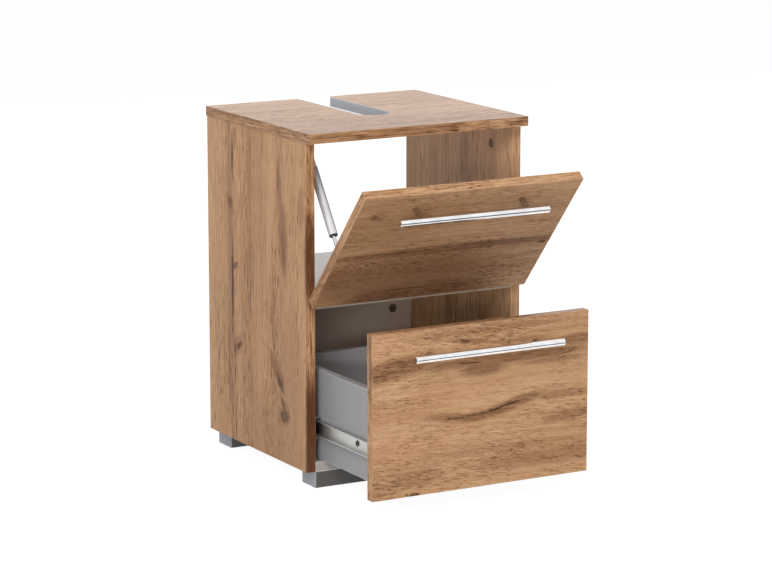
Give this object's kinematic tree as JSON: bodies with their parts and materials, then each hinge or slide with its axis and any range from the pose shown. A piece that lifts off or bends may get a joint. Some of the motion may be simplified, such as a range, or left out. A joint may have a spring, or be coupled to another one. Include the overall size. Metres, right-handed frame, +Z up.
{
  "type": "under-basin bathroom cabinet",
  "caption": "Free-standing oak-effect bathroom cabinet with a tilting door held by a strut, a drawer on ball-bearing slides, bar handles and a pipe cut-out in the top.",
  "frame": {"origin": "On the floor, under the middle of the whole as stored, with the door tilted open and the drawer out.", "axes": "+X to the right as seen from the front, +Y from the front to the wall, +Z up."},
  "size_m": [0.4, 0.585, 0.575],
  "materials": {
    "oak_board": "oak-effect laminate, satin",
    "oak_cap": "wood-coloured cover cap, matte",
    "grey_board": "light grey melamine, satin",
    "drawer_board": "silver-grey melamine, satin",
    "grey_rail": "silver-grey foil, satin",
    "grey_band": "silver-grey edge band, satin",
    "handle_chrome": "polished chrome",
    "strut_chrome": "polished chrome",
    "black_plastic": "black plastic, matte",
    "clear_buffer": "pale soft buffer",
    "zinc_cam": "die-cast zinc, dull",
    "slide_steel": "zinc-plated steel",
    "fitting_steel": "nickel-plated steel"
  },
  "bodies": {
    "carcass": {"top_panel": "oak_board", "slot_edge_band": "grey_band", "left_side_panel": "oak_board", "right_side_panel": "oak_board", "middle_shelf": "grey_board", "bottom_panel": "grey_board", "back_panel": "grey_board", "front_rail": "grey_rail", "rear_rail": "grey_rail", "rail_screws": "fitting_steel", "top_cam_locks": "zinc_cam", "top_cam_caps": "oak_cap", "shelf_cam_locks": "zinc_cam", "bottom_cam_locks": "zinc_cam", "back_cam_locks": "zinc_cam", "hinge_plate_left": "fitting_steel", "hinge_plate_right": "fitting_steel", "hinge_arm_left": "fitting_steel", "hinge_arm_right": "fitting_steel", "hinge_plate_screws": "fitting_steel", "slide_outer_left": "slide_steel", "slide_outer_right": "slide_steel", "slide_outer_screws": "fitting_steel", "strut_upper_bracket": "fitting_steel", "strut_upper_screws": "fitting_steel"},
    "hinge_links": {"hinge_link_left": "fitting_steel", "hinge_link_right": "fitting_steel"},
    "door": {"door_panel": "oak_board", "hinge_cup_left": "fitting_steel", "hinge_cup_right": "fitting_steel", "hinge_cup_screws": "fitting_steel", "strut_lower_bracket": "fitting_steel", "strut_lower_screws": "fitting_steel", "door_handle_bar": "handle_chrome", "door_handle_posts": "handle_chrome", "door_handle_screws": "fitting_steel", "door_buffers": "clear_buffer"},
    "strut_cylinder": {"strut_cylinder": "strut_chrome", "strut_sleeve": "strut_chrome", "strut_gland": "black_plastic"},
    "strut_rod": {"strut_rod": "strut_chrome", "strut_rod_eye": "strut_chrome"},
    "drawer": {"drawer_front": "oak_board", "drawer_side_left": "drawer_board", "drawer_side_right": "drawer_board", "drawer_back": "drawer_board", "drawer_bottom": "drawer_board", "drawer_cam_locks": "zinc_cam", "slide_inner_left": "slide_steel", "slide_inner_right": "slide_steel", "slide_inner_screws": "fitting_steel", "drawer_handle_bar": "handle_chrome", "drawer_handle_posts": "handle_chrome", "drawer_handle_screws": "fitting_steel", "drawer_buffers": "clear_buffer"},
    "ball_cage_left": {"ball_cage_left": "slide_steel"},
    "ball_cage_right": {"ball_cage_right": "slide_steel"}
  },
  "joints": [
    {"name": "hinge_link_swing", "type": "hinge", "parent": "carcass", "child": "hinge_links", "pos_m": [0, -0.05432, 0.33029], "axis": [1, 0, 0], "range_deg": [0, 30.75]},
    {"name": "door_tilt", "type": "hinge", "parent": "hinge_links", "child": "door", "pos_m": [0, -0.07239, 0.31394], "axis": [1, 0, 0], "range_deg": [-71.73, 0]},
    {"name": "strut_cylinder_swing", "type": "hinge", "parent": "carcass", "child": "strut_cylinder", "pos_m": [-0.155, 0.027, 0.543], "axis": [1, 0, 0], "range_deg": [0, 14.74]},
    {"name": "strut_rod_swing", "type": "hinge", "parent": "door", "child": "strut_rod", "pos_m": [-0.155, -0.08938, 0.37311], "axis": [1, 0, 0], "range_deg": [0, 55.74]},
    {"name": "drawer_slide", "type": "slide", "parent": "carcass", "child": "drawer", "axis": [0, 1, 0], "range_m": [0, 0.192]},
    {"name": "ball_cage_left_slide", "type": "slide", "parent": "carcass", "child": "ball_cage_left", "axis": [0, 1, 0], "range_m": [0, 0.0961]},
    {"name": "ball_cage_right_slide", "type": "slide", "parent": "carcass", "child": "ball_cage_right", "axis": [0, 1, 0], "range_m": [0, 0.0961]}
  ],
  "couplings": [
    {"joint": "hinge_link_swing", "follows": "door_tilt", "ratio": -0.42844},
    {"joint": "strut_cylinder_swing", "follows": "door_tilt", "ratio": -0.20506},
    {"joint": "strut_rod_swing", "follows": "door_tilt", "ratio": -0.77662},
    {"joint": "ball_cage_left_slide", "follows": "drawer_slide", "ratio": 0.5},
    {"joint": "ball_cage_right_slide", "follows": "drawer_slide", "ratio": 0.5}
  ]
}
